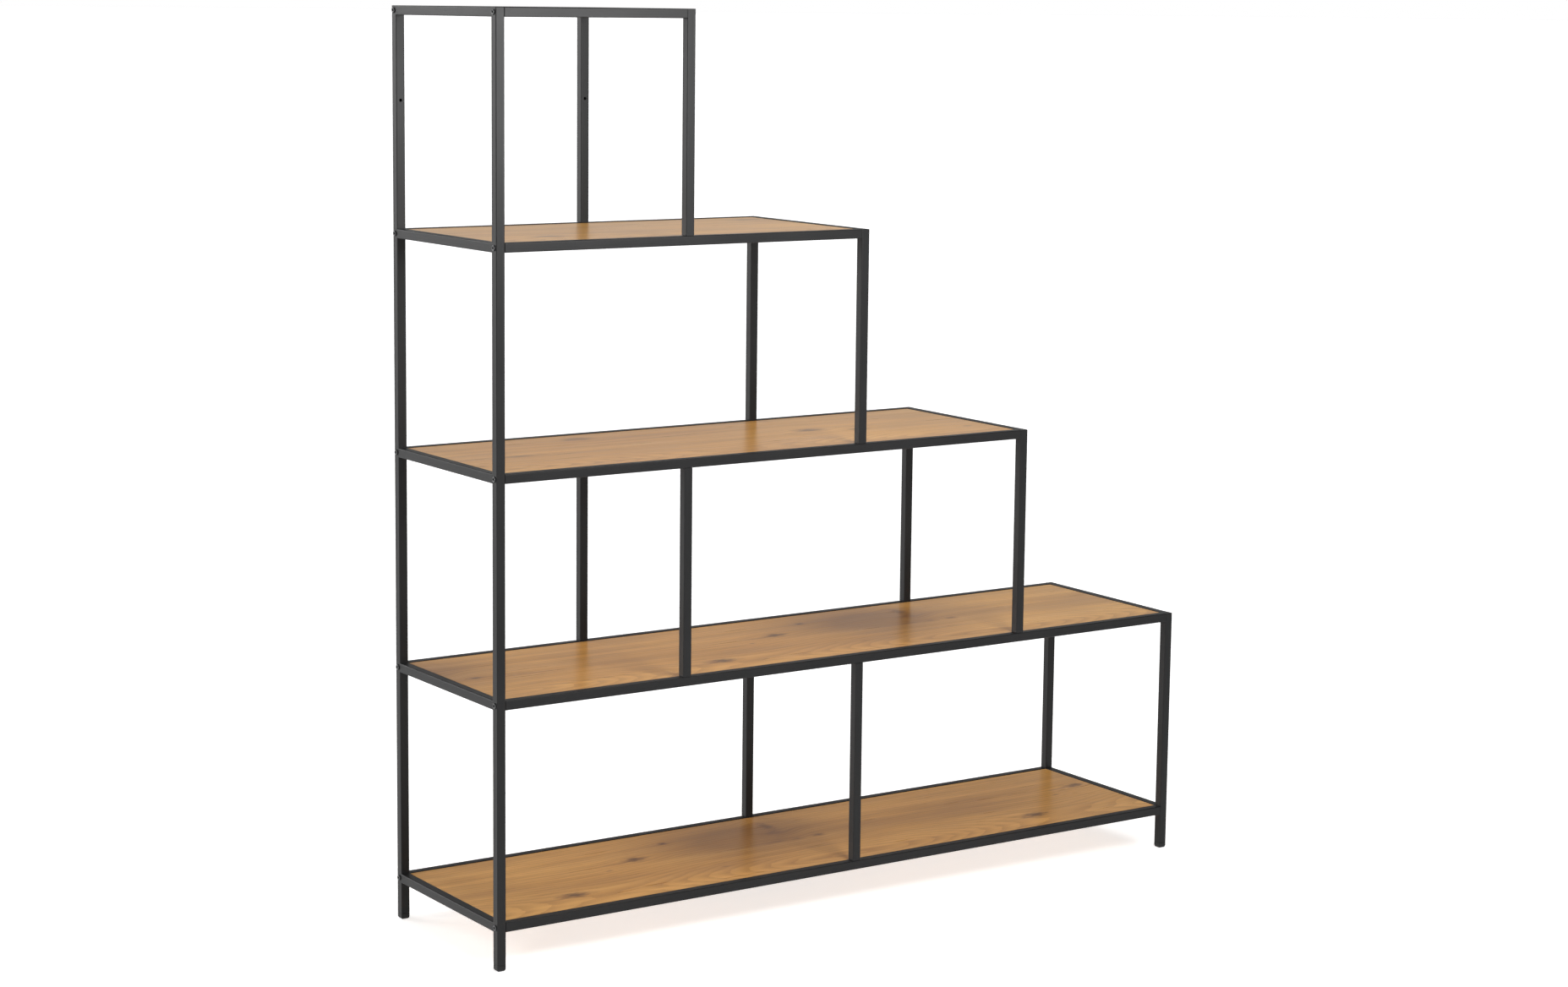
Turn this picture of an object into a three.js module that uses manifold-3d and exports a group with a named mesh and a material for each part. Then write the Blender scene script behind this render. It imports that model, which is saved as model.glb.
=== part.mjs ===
// Staircase bookshelf: a frame of black square steel tube that carries four wooden shelf boards.
// Five levels lie over four equal bays. From the third level on, each level ends one bay sooner,
// so the right-hand side comes down in steps. The topmost level is an open frame with no board.
// Millimetres. +X runs to the right, +Y to the back, +Z up. The origin is on the floor, in the
// middle of the footprint.

import * as THREE from 'three';
import { mergeVertices } from 'three/addons/utils/BufferGeometryUtils.js';
import Module from 'manifold-3d';

const wasm = await Module();
wasm.setup();

// Driving dimensions of the whole shelf
const overallHeight = 1500;
const overallDepth = 345;
const bayPitch = 340;
const lowestRailHeight = 63;

// Bays of each level, from the lowest up, and the column of the divider between each of the
// lower levels and the next
const bayCounts = [4, 4, 3, 2, 1];
const dividerColumns = [2, 1];

// Square tube
const tubeSide = 15;
const tubeWall = 1.2;
const tubeCornerRadius = 1.5;
const postLidThickness = 1.2;
const railPlugDepth = 12;
const spigotLength = 12;
const jointGap = 0.3;

// Holes in the two rear posts of the top bay, for screws into a wall
const wallHoleRadius = 2.6;
const wallHoleDrop = 150;

// Shelf boards and the tabs under them
const boardThickness = 12;
const boardGap = 1;
const tabLength = 25;
const tabReach = 15;
const tabThickness = 2;
const tabHoleRadius = 2.2;

// Bolts that hold the rails to the end posts
const boltRadius = 3;
const boltClearance = 0.3;
const boltGrip = 10;
const boltTipChamfer = 0.8;
const boltHeadRadius = 4.6;
const boltHeadHeight = 1.8;
const boltSocketWidth = 4;
const boltSocketDepth = 2;

// Plastic feet
const footHeight = 10;
const footSpigotLength = 15;
const footEdgeInset = 4.5;
const footEdgeRise = 5;

// How finely round things are cut, and how far a cut runs past the face it goes through
const cornerSteps = 1;
const boreSides = 12;
const headSides = 12;
const footEdgeSteps = 4;
const cutOverrun = 1;

// Sizes worked out from the ones above
const levelCount = bayCounts.length;
const fullWidthCount = bayCounts.filter((count) => count === bayCounts[0]).length;
const levelPitch = (overallHeight - tubeSide - lowestRailHeight) / (levelCount - 1);
const overallWidth = bayCounts[0] * bayPitch + tubeSide;
const tubeMiddle = tubeSide / 2;
const tubeInside = [tubeWall, tubeSide - tubeWall];
const spigotSide = tubeSide - 2 * tubeWall - 2 * jointGap;

// The frame is laid out from its front left corner, and moved over the origin at the end.
const columnX = (column) => column * bayPitch;
const rowY = { front: 0, rear: overallDepth - tubeSide };
const railBottom = (level) => lowestRailHeight + (level - 1) * levelPitch;
const railTop = (level) => railBottom(level) + tubeSide;
const rows = ['front', 'rear'];
const levels = bayCounts.map((bays, index) => index + 1);

// Every upright runs in one column from one level to another. Level 0 is the floor. A capped
// upright ends flush with the top of its last level, and any other stops under that level's rail.
const uprights = [
  { name: 'left_post', column: 0, from: 0, to: levelCount, capped: true },
  { name: 'right_post', column: bayCounts[0], from: 0, to: fullWidthCount, capped: true },
];
for (let level = fullWidthCount + 1; level <= levelCount; level += 1) {
  const name = `step_post_level_${level}`;
  uprights.push({ name, column: bayCounts[level - 1], from: level - 1, to: level, capped: true });
}
for (const [index, column] of dividerColumns.entries()) {
  const level = index + 1;
  uprights.push({ name: `divider_level_${level}`, column, from: level, to: level + 1, capped: false });
}

// Materials
const blackSteel = { color: 0x34363a, roughness: 0.55, metalness: 0.35 };
const oakLaminate = { color: 0xb58a5e, roughness: 0.45, metalness: 0 };
const blackPlastic = { color: 0x1d1d1e, roughness: 0.6, metalness: 0 };
const blackBolt = { color: 0x26272a, roughness: 0.4, metalness: 0.6 };

// A closed three.js geometry as a solid that can be joined and cut
function solidFrom(geometry) {
  const bare = geometry.clone();
  bare.deleteAttribute('normal');
  bare.deleteAttribute('uv');
  const merged = mergeVertices(bare);
  const vertProperties = merged.getAttribute('position').array;
  const triVerts = new Uint32Array(merged.index.array);
  return new wasm.Manifold(new wasm.Mesh({ numProp: 3, vertProperties, triVerts }));
}

// A solid as a three.js geometry again
function geometryFrom(solid) {
  const { vertProperties, triVerts } = solid.getMesh();
  const geometry = new THREE.BufferGeometry();
  geometry.setAttribute('position', new THREE.BufferAttribute(vertProperties, 3));
  geometry.setIndex(new THREE.BufferAttribute(triVerts, 1));
  geometry.computeVertexNormals();
  return geometry;
}

// A box between a low and a high value along each axis
function box(x, y, z) {
  const geometry = new THREE.BoxGeometry(x[1] - x[0], y[1] - y[0], z[1] - z[0]);
  geometry.translate((x[0] + x[1]) / 2, (y[0] + y[1]) / 2, (z[0] + z[1]) / 2);
  return solidFrom(geometry);
}

// A round bore of one radius between two points on one axis
function bore(radius, start, end) {
  const along = new THREE.Vector3().subVectors(end, start);
  const geometry = new THREE.CylinderGeometry(radius, radius, along.length(), boreSides);
  const upwards = new THREE.Vector3(0, 1, 0);
  geometry.applyQuaternion(new THREE.Quaternion().setFromUnitVectors(upwards, along.normalize()));
  const middle = new THREE.Vector3().addVectors(start, end).divideScalar(2);
  geometry.translate(middle.x, middle.y, middle.z);
  return solidFrom(geometry);
}

// The outline of the tube: a square with its corners rounded
function tubeOutline() {
  const low = tubeCornerRadius;
  const high = tubeSide - tubeCornerRadius;
  const quarter = Math.PI / 2;
  const outline = new THREE.Shape();
  outline.absarc(high, low, tubeCornerRadius, -quarter, 0);
  outline.absarc(high, high, tubeCornerRadius, 0, quarter);
  outline.absarc(low, high, tubeCornerRadius, quarter, 2 * quarter);
  outline.absarc(low, low, tubeCornerRadius, 2 * quarter, 3 * quarter);
  return outline;
}

// Turns of a bar that stands on end, so that it lies along X or along Y in the same square
const standing = new THREE.Matrix4();
const alongX = new THREE.Matrix4().set(0, 0, 1, 0, 0, 1, 0, 0, -1, 0, 0, tubeSide, 0, 0, 0, 1);
const alongY = new THREE.Matrix4().set(1, 0, 0, 0, 0, 0, 1, 0, 0, -1, 0, tubeSide, 0, 0, 0, 1);

// A solid bar with the tube's outline
function bar(length, turn) {
  const options = { depth: length, bevelEnabled: false, curveSegments: cornerSteps };
  const geometry = new THREE.ExtrudeGeometry(tubeOutline(), options);
  geometry.applyMatrix4(turn);
  return solidFrom(geometry);
}

function addMesh(group, name, geometry, look, place) {
  const mesh = new THREE.Mesh(geometry, new THREE.MeshStandardMaterial(look));
  mesh.name = name;
  mesh.position.copy(place);
  group.add(mesh);
  return mesh;
}

// Levels whose rails are bolted to an upright: every level that ends at its column
function boltedLevels(upright) {
  const endsHere = (level) => upright.column === 0 || bayCounts[level - 1] === upright.column;
  return levels.filter((level) => level > upright.from && level <= upright.to && endsHere(level));
}

// The two rear posts of the top bay have a hole for a wall screw.
function isScrewedToWall(upright, row) {
  return row === 'rear' && upright.capped && upright.to === levelCount;
}

// An upright: a hollow tube, open below over its foot or spigot, with a lid on top if it is capped
function uprightBottom(upright) {
  return (upright.from === 0 ? footHeight : railTop(upright.from)) + jointGap;
}

function uprightSolid(upright, row) {
  const bottom = uprightBottom(upright);
  const top = upright.capped ? railTop(upright.to) : railBottom(upright.to) - jointGap;
  const length = top - bottom;
  const hollowTop = upright.capped ? length - postLidThickness : length + cutOverrun;
  let solid = bar(length, standing).subtract(box(tubeInside, tubeInside, [-cutOverrun, hollowTop]));
  for (const level of boltedLevels(upright)) {
    const height = railBottom(level) + tubeMiddle - bottom;
    const start = new THREE.Vector3(-cutOverrun, tubeMiddle, height);
    const end = new THREE.Vector3(tubeSide + cutOverrun, tubeMiddle, height);
    solid = solid.subtract(bore(boltRadius + boltClearance, start, end));
  }
  if (isScrewedToWall(upright, row)) {
    const height = overallHeight - wallHoleDrop - bottom;
    const start = new THREE.Vector3(tubeMiddle, -cutOverrun, height);
    const end = new THREE.Vector3(tubeMiddle, tubeSide + cutOverrun, height);
    solid = solid.subtract(bore(wallHoleRadius, start, end));
  }
  return solid;
}

function addUprights(group) {
  for (const upright of uprights) {
    for (const row of rows) {
      const place = new THREE.Vector3(columnX(upright.column), rowY[row], uprightBottom(upright));
      const geometry = geometryFrom(uprightSolid(upright, row));
      addMesh(group, `${upright.name}_${row}`, geometry, blackSteel, place);
    }
  }
}

// A long rail lies between the end posts of its level.
const railStart = tubeSide + jointGap;
const railLength = (level) => columnX(bayCounts[level - 1]) - jointGap - railStart;

// The threaded plug in each end of a rail is bored for its bolt.
function railTube(level) {
  const length = railLength(level);
  const hollow = box([railPlugDepth, length - railPlugDepth], tubeInside, tubeInside);
  const centreAt = (x) => new THREE.Vector3(x, tubeMiddle, tubeMiddle);
  const radius = boltRadius + boltClearance;
  const leftBore = bore(radius, centreAt(-cutOverrun), centreAt(railPlugDepth + cutOverrun));
  const rightStart = centreAt(length - railPlugDepth - cutOverrun);
  const rightBore = bore(radius, rightStart, centreAt(length + cutOverrun));
  return bar(length, alongX).subtract(hollow).subtract(leftBore).subtract(rightBore);
}

// A spigot welded on a rail reaches into the open end of an upright, above or below the rail.
function spigot(column, goesUp) {
  const centre = columnX(column) + tubeMiddle - railStart;
  const around = (middle) => [middle - spigotSide / 2, middle + spigotSide / 2];
  const root = tubeWall / 2;
  const upwards = [tubeSide - root, tubeSide + spigotLength];
  const downwards = [-spigotLength, root];
  return box(around(centre), around(tubeMiddle), goesUp ? upwards : downwards);
}

// A tab under the board, in the middle of a bay, with a hole for a wood screw
function boardTab(bay, row) {
  const centre = columnX(bay) + tubeMiddle + bayPitch / 2 - railStart;
  const root = tubeSide - tubeCornerRadius;
  const front = [root, tubeSide + tabReach];
  const rear = [-tabReach, tubeCornerRadius];
  const holeY = row === 'front' ? tubeSide + tabReach / 2 : -tabReach / 2;
  const holeLow = new THREE.Vector3(centre, holeY, -cutOverrun);
  const holeHigh = new THREE.Vector3(centre, holeY, tabThickness + cutOverrun);
  const spanX = [centre - tabLength / 2, centre + tabLength / 2];
  const plate = box(spanX, row === 'front' ? front : rear, [0, tabThickness]);
  return plate.subtract(bore(tabHoleRadius, holeLow, holeHigh));
}

// The topmost level has no board.
const hasBoard = (level) => level < levelCount;

function railSolid(level, row) {
  let solid = railTube(level);
  for (const upright of uprights) {
    if (upright.from === level) {
      solid = solid.add(spigot(upright.column, true));
    }
    if (upright.to === level && !upright.capped) {
      solid = solid.add(spigot(upright.column, false));
    }
  }
  for (let bay = 0; hasBoard(level) && bay < bayCounts[level - 1]; bay += 1) {
    solid = solid.add(boardTab(bay, row));
  }
  return solid;
}

function addRails(group) {
  for (const level of levels) {
    for (const row of rows) {
      const place = new THREE.Vector3(railStart, rowY[row], railBottom(level));
      const geometry = geometryFrom(railSolid(level, row));
      addMesh(group, `${row}_rail_level_${level}`, geometry, blackSteel, place);
    }
  }
}

// A side rail is a length of open tube, welded between a front and a rear post.
function sideRailSolid() {
  const length = overallDepth - 2 * tubeSide - 2 * jointGap;
  const hollow = box(tubeInside, [-cutOverrun, length + cutOverrun], tubeInside);
  return bar(length, alongY).subtract(hollow);
}

function addSideRails(group) {
  for (const level of levels) {
    const columnOf = { left: 0, right: bayCounts[level - 1] };
    for (const side of ['left', 'right']) {
      const y = tubeSide + jointGap;
      const place = new THREE.Vector3(columnX(columnOf[side]), y, railBottom(level));
      const geometry = geometryFrom(sideRailSolid());
      addMesh(group, `${side}_side_rail_level_${level}`, geometry, blackSteel, place);
    }
  }
}

// A board fills the frame of its level and rests on the tabs.
function addBoards(group) {
  for (const level of levels.filter(hasBoard)) {
    const lowX = tubeSide + boardGap;
    const highX = columnX(bayCounts[level - 1]) - boardGap;
    const width = overallDepth - 2 * tubeSide - 2 * boardGap;
    const underside = railBottom(level) + tabThickness + jointGap;
    const place = new THREE.Vector3(
      (lowX + highX) / 2,
      overallDepth / 2,
      underside + boardThickness / 2,
    );
    const geometry = new THREE.BoxGeometry(highX - lowX, width, boardThickness);
    addMesh(group, `shelf_board_level_${level}`, geometry, oakLaminate, place);
  }
}

// A foot: a square cap with a rounded lower edge, and a spigot that goes up into the post
function footSolid() {
  const outline = new THREE.Shape();
  outline.moveTo(0, 0);
  outline.lineTo(tubeSide, 0);
  outline.lineTo(tubeSide, tubeSide);
  outline.lineTo(0, tubeSide);
  outline.closePath();
  const options = {
    depth: footHeight,
    bevelThickness: footEdgeRise,
    bevelSize: footEdgeInset,
    bevelOffset: -footEdgeInset,
    bevelSegments: footEdgeSteps,
  };
  const pillow = new THREE.ExtrudeGeometry(outline, options);
  pillow.translate(0, 0, footEdgeRise);
  const cap = solidFrom(pillow).intersect(bar(footHeight, standing));
  const around = [tubeMiddle - spigotSide / 2, tubeMiddle + spigotSide / 2];
  const plug = box(around, around, [footHeight / 2, footHeight + footSpigotLength]);
  return cap.add(plug);
}

function addFeet(group) {
  for (const upright of uprights.filter((candidate) => candidate.from === 0)) {
    for (const row of rows) {
      const place = new THREE.Vector3(columnX(upright.column), rowY[row], 0);
      const name = `${upright.name}_${row}`.replace('post', 'foot');
      addMesh(group, name, geometryFrom(footSolid()), blackPlastic, place);
    }
  }
}

// A low-head bolt with a hexagon socket. Its shank hangs below the underside of the head.
function boltSolid() {
  const length = tubeSide + boltGrip;
  const crownShares = [[1, 0], [1, 0.4], [0.9, 0.85], [0.72, 1]];
  const crown = crownShares.map(([out, up]) => [boltHeadRadius * out, boltHeadHeight * up]);
  const outline = [
    [0, -length],
    [boltRadius - boltTipChamfer, -length],
    [boltRadius, boltTipChamfer - length],
    [boltRadius, 0],
    ...crown,
    [0, boltHeadHeight],
  ];
  const profile = outline.map(([out, up]) => new THREE.Vector2(out, up));
  const body = solidFrom(new THREE.LatheGeometry(profile, headSides));
  const socketRadius = boltSocketWidth / Math.sqrt(3);
  const socketHeight = boltSocketDepth + cutOverrun;
  const socket = new THREE.CylinderGeometry(socketRadius, socketRadius, socketHeight, 6);
  socket.translate(0, boltHeadHeight - boltSocketDepth + socketHeight / 2, 0);
  return body.subtract(solidFrom(socket));
}

// The right end of the top level keeps its bolt holes, and its two bolts aren't modelled here.
function addBolts(group) {
  for (const level of levels) {
    const right = bayCounts[level - 1];
    const ends = [{ side: 'left', x: -jointGap, quarterTurns: 1 }];
    if (level < levelCount) {
      ends.push({ side: 'right', x: columnX(right) + tubeSide + jointGap, quarterTurns: -1 });
    }
    for (const { side, x, quarterTurns } of ends) {
      for (const row of rows) {
        const place = new THREE.Vector3(x, rowY[row] + tubeMiddle, railBottom(level) + tubeMiddle);
        const name = `${side}_bolt_${row}_level_${level}`;
        const bolt = addMesh(group, name, geometryFrom(boltSolid()), blackBolt, place);
        bolt.rotation.z = quarterTurns * Math.PI / 2;
      }
    }
  }
}

const frame = new THREE.Group();
addUprights(frame);
addRails(frame);
addSideRails(frame);

const boards = new THREE.Group();
addBoards(boards);

const fittings = new THREE.Group();
addFeet(fittings);
addBolts(fittings);

const bookshelf = new THREE.Group();
bookshelf.add(frame, boards, fittings);
bookshelf.position.set(-overallWidth / 2, -overallDepth / 2, 0);

export default bookshelf;
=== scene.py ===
"""Looks of the staircase bookshelf: black powder-coated square tube with oak laminate boards.

Every piece is a surface worked out as whole arrays: a list of rows, each with an inset and a
height, carried round a square or a circle. Sizes are in metres, and places come from the frame.
"""
import math

import bmesh
import bpy
import numpy as np
from mathutils import Matrix, Vector


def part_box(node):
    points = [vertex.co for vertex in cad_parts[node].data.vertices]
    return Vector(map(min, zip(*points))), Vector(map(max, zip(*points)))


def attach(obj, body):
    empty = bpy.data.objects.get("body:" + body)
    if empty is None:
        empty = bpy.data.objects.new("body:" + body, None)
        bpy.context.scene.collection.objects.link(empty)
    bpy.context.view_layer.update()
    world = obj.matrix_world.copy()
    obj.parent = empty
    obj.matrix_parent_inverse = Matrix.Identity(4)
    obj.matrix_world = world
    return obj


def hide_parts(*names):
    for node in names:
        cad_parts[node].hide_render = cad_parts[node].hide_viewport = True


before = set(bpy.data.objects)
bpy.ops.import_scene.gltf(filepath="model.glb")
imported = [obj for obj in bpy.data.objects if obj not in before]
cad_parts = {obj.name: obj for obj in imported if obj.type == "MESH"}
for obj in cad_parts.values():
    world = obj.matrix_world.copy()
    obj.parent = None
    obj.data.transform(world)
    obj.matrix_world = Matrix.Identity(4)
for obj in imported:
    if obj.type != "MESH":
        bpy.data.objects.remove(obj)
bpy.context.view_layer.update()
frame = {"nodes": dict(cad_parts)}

# Places of the frame
LEVELS = (1, 2, 3, 4, 5)
ROWS = ("front", "rear")
SIDES = ("left", "right")
BODY = "root"
WALL_HOLE_POSTS = ("left_post_rear", "step_post_level_5_rear")

# Meshes
MERGE_DISTANCE = 1e-7
SHARP_ANGLE = math.radians(35)

# Square tube
TUBE_CORNER_RADIUS = 0.0013
TUBE_WALL = 0.0012
LID_THICKNESS = 0.0012
LID_EDGE_RADIUS = 0.0008
CUT_EDGE_RADIUS = 0.0003
FLAT_STEPS = 6
CORNER_STEPS = 6
EDGE_STEPS = 4
WELD_REACH = 0.0018
WELD_GAP_LIMIT = 0.0006
# The sides of a standing tube, counted anticlockwise from the one that faces +X
SIDES_FACING_X = (0, 2)
SIDES_FACING_Y = (1, 3)

# Holes in the tube
BOLT_HOLE_RADIUS = 0.0033
WALL_HOLE_RADIUS = 0.0026
WALL_HOLE_DROP = 0.150

# Tabs and spigots on the long rails
TAB_LENGTH = 0.025
TAB_REACH = 0.015
TAB_THICKNESS = 0.002
TAB_EDGE_RADIUS = 0.0005
SPIGOT_SIDE = 0.012
SPIGOT_LENGTH = 0.012
SPIGOT_EDGE_RADIUS = 0.0006

# Shelf boards
BOARD_EDGE_RADIUS = 0.0007

# Feet
FOOT_EDGE_INSET = 0.0045
FOOT_EDGE_RISE = 0.005
FOOT_RIM_RADIUS = 0.0004
FOOT_SHOULDER = 0.0015
FOOT_HEIGHT = 0.010
FOOT_ROUND_STEPS = 10

# Bolts and screws
ROUND_SIDES = 48
BOLT_RADIUS = 0.003
BOLT_TIP_CHAMFER = 0.0008
BOLT_HEAD_RADIUS = 0.0046
BOLT_HEAD_HEIGHT = 0.0018
BOLT_HEAD_SIDE = 0.0007
BOLT_RIM_RADIUS = 0.0034
BOLT_SOCKET_APOTHEM = 0.002
BOLT_SOCKET_DEPTH = 0.002
BOLT_LENGTH = 0.025
BOLT_SEAT_GAP = 0.0003
DOME_STEPS = 10
SCREW_HEAD_RADIUS = 0.0036
SCREW_HEAD_HEIGHT = 0.0012
SCREW_RECESS_DEPTH = 0.0009
SCREW_RECESS_REACH = 0.0021
SCREW_RECESS_HALF_WIDTH = 0.00045
SCREW_RING_STEPS = 14
SCREW_DOME_POWER = 4
SCREW_ARM_SIDE_STEEPNESS = 1.5
SCREW_ARM_END_STEEPNESS = 4

# Turns of a piece that stands along Z: laid down along X or Y, turned half round, or turned over
STANDING = np.eye(3)
ALONG_X = np.array([[0, 0, 1], [0, 1, 0], [-1, 0, 0]])
ALONG_Y = np.array([[1, 0, 0], [0, 0, 1], [0, -1, 0]])
HALF_ROUND = np.diag([-1, -1, 1])
TURNED_OVER = np.diag([1, -1, -1])


def corners(node):
    """The lowest and highest corner of a node as arrays."""
    low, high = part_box(node)
    return np.array(low), np.array(high)


# Sizes that the frame gives
first_rail_low, first_rail_high = corners("left_side_rail_level_1")
TUBE_SIDE = first_rail_high[0] - first_rail_low[0]
BAY_PITCH = corners("step_post_level_5_front")[0][0] - corners("left_post_front")[0][0]


def grid_faces(first, row_count, column_count):
    """Quads between neighbouring rows of a grid whose columns close into a ring.

    Point number first + row * column_count + column. Quads run anticlockwise seen from outside.
    """
    row = np.arange(row_count - 1)[:, None]
    column = np.arange(column_count)[None, :]
    following = (column + 1) % column_count
    low = first + row * column_count
    high = low + column_count
    quad = (low + column, low + following, high + following, high + column)
    return np.stack(np.broadcast_arrays(*quad), -1)


def square_columns():
    """Where each column of a square tube's grid sits, as shares of half the flat, and how it faces.

    A quarter has the points of one flat, evenly spaced, and then the inner points of the round
    corner after it. The other quarters are this one turned by right angles.
    """
    along = np.linspace(-1, 1, FLAT_STEPS + 1)
    angle = np.linspace(0, math.pi / 2, CORNER_STEPS + 1)[1:-1]
    flat_seat = np.stack([np.ones_like(along), along], 1)
    flat_facing = np.stack([np.ones_like(along), np.zeros_like(along)], 1)
    corner_seat = np.ones((len(angle), 2))
    corner_facing = np.stack([np.cos(angle), np.sin(angle)], 1)
    seat = np.concatenate([flat_seat, corner_seat])
    facing = np.concatenate([flat_facing, corner_facing])
    turns = [np.linalg.matrix_power(np.array([[0, -1], [1, 0]]), quarter) for quarter in range(4)]
    return (
        np.concatenate([seat @ turn.T for turn in turns]),
        np.concatenate([facing @ turn.T for turn in turns]),
    )


SEAT, FACING = square_columns()
SQUARE_COLUMNS = len(SEAT)


def square_rings(side, rows, corner_radius=TUBE_CORNER_RADIUS):
    """Rings of points round a square with round corners, one for each row (inset, height).

    The corner's centre lies the larger of corner radius and inset in from the side, and the
    corner's own radius is the corner radius less the inset, but not under zero.
    """
    inset = rows[:, 0][:, None, None]
    height = np.broadcast_to(rows[:, 1][:, None, None], (len(rows), SQUARE_COLUMNS, 1))
    half_flat = side / 2 - np.maximum(corner_radius, inset)
    radius = np.maximum(corner_radius - inset, 0)
    return np.concatenate([half_flat * SEAT + radius * FACING, height], -1)


def quarter_round(radius, steps=EDGE_STEPS):
    """Insets and heights of a convex edge, from (radius, 0) on its flat to (0, radius) on its side."""
    angle = np.linspace(0, math.pi / 2, steps + 1)
    return np.stack([radius * (1 - np.sin(angle)), radius * (1 - np.cos(angle))], 1)


def upside_down(rows, top):
    """Rows turned over, so that they end at a top height instead of starting at zero."""
    return np.stack([rows[::-1, 0], top - rows[::-1, 1]], 1)


def closed_bar(side, rows):
    """A solid bar: one ring for each row, closed by a flat face at each end."""
    points = square_rings(side, rows).reshape(-1, 3)
    quads = grid_faces(0, len(rows), SQUARE_COLUMNS).reshape(-1, 4).tolist()
    bottom = list(range(SQUARE_COLUMNS))[::-1]
    top = [len(points) - SQUARE_COLUMNS + column for column in range(SQUARE_COLUMNS)]
    return points, quads + [bottom, top]


def wall_heights(low, high, hole_heights, half_flat):
    """Heights of the rows on a wall: its two ends, and a block of even steps round each hole."""
    steps = np.linspace(-1, 1, FLAT_STEPS + 1) * half_flat
    blocks = [height + steps for height in sorted(hole_heights)]
    return np.concatenate([[low], *blocks, [high]])


def block_rim():
    """Row and column steps of the points round the edge of a block, in order, starting at a corner."""
    run = np.arange(FLAT_STEPS)
    end = np.full(FLAT_STEPS, FLAT_STEPS)
    start = np.zeros(FLAT_STEPS, int)
    row_step = np.concatenate([start, run, end, FLAT_STEPS - run])
    column_step = np.concatenate([run, end, FLAT_STEPS - run, start])
    return row_step, column_step


def hollow_tube(side, length, capped, holes=()):
    """A hollow square tube that stands on its lower end, open there, and open or lidded on top.

    The rows go down the inside, round the cut rim and up the outside, and each ring is the square
    pushed in by the row's inset. A hole (quarter, height, radius) replaces a square block of the
    grid on one flat by a fan from the block's rim to a circle, on both walls, and a bore joins them.
    """
    half_flat = side / 2 - TUBE_CORNER_RADIUS
    heights = {height for quarter, height, radius in holes}
    inner_top = length - LID_THICKNESS if capped else length - CUT_EDGE_RADIUS
    outer_top = length - (LID_EDGE_RADIUS if capped else CUT_EDGE_RADIUS)
    inner = wall_heights(CUT_EDGE_RADIUS, inner_top, heights, half_flat)
    outer = wall_heights(CUT_EDGE_RADIUS, outer_top, heights, half_flat)
    rim = quarter_round(CUT_EDGE_RADIUS)
    inner_rim = np.stack([TUBE_WALL - rim[::-1, 0], rim[::-1, 1]], 1)
    rows = [
        np.stack([np.full(len(inner), TUBE_WALL), inner[::-1]], 1),
        inner_rim[1:],
        rim,
        np.stack([np.zeros(len(outer) - 1), outer[1:]], 1),
    ]
    if capped:
        rows.append(upside_down(quarter_round(LID_EDGE_RADIUS), length)[1:])
    else:
        rows.append(upside_down(rim, length)[1:])
        rows.append(upside_down(inner_rim, length)[:-1])
    rows = np.concatenate(rows)
    points = square_rings(side, rows).reshape(-1, 3)
    quads = grid_faces(0, len(rows), SQUARE_COLUMNS)
    kept = np.ones(quads.shape[:2], bool)
    extra_points = []
    extra_faces = []
    row_step, column_step = block_rim()
    for quarter, height, radius in holes:
        first_column = quarter * (FLAT_STEPS + CORNER_STEPS)
        bottoms = np.flatnonzero(np.isclose(rows[:, 1], height - half_flat, atol=MERGE_DISTANCE))
        circles = []
        for first_row, inside in ((bottoms.min(), True), (bottoms.max(), False)):
            down = -1 if inside else 1
            block_rows = first_row + down * row_step
            lowest = first_row - FLAT_STEPS if inside else first_row
            kept[lowest : lowest + FLAT_STEPS, first_column : first_column + FLAT_STEPS] = False
            rim_index = block_rows * SQUARE_COLUMNS + first_column + column_step
            rim_points = points[rim_index]
            middle = rim_points.mean(0)
            spoke = rim_points - middle
            circle = middle + spoke * (radius / np.linalg.norm(spoke, axis=1))[:, None]
            start = len(points) + sum(len(block) for block in extra_points)
            extra_points.append(circle)
            circles.append((rim_index, start + np.arange(len(circle))))
        (inner_rim_index, inner_circle), (outer_rim_index, outer_circle) = circles
        for one, other in (
            (outer_rim_index, outer_circle),
            (outer_circle, inner_circle),
            (inner_circle, inner_rim_index),
        ):
            extra_faces.append(np.stack([one, np.roll(one, -1), np.roll(other, -1), other], 1))
    faces = quads[kept].tolist() + [face for block in extra_faces for face in block.tolist()]
    first_ring = list(range(SQUARE_COLUMNS))
    last_ring = [len(points) - SQUARE_COLUMNS + column for column in first_ring]
    if capped:
        faces += [first_ring[::-1], last_ring]
    else:
        following = first_ring[1:] + first_ring[:1]
        after = last_ring[1:] + last_ring[:1]
        faces += [list(face) for face in zip(last_ring, after, following, first_ring)]
    return np.concatenate([points, *extra_points]), faces


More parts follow.
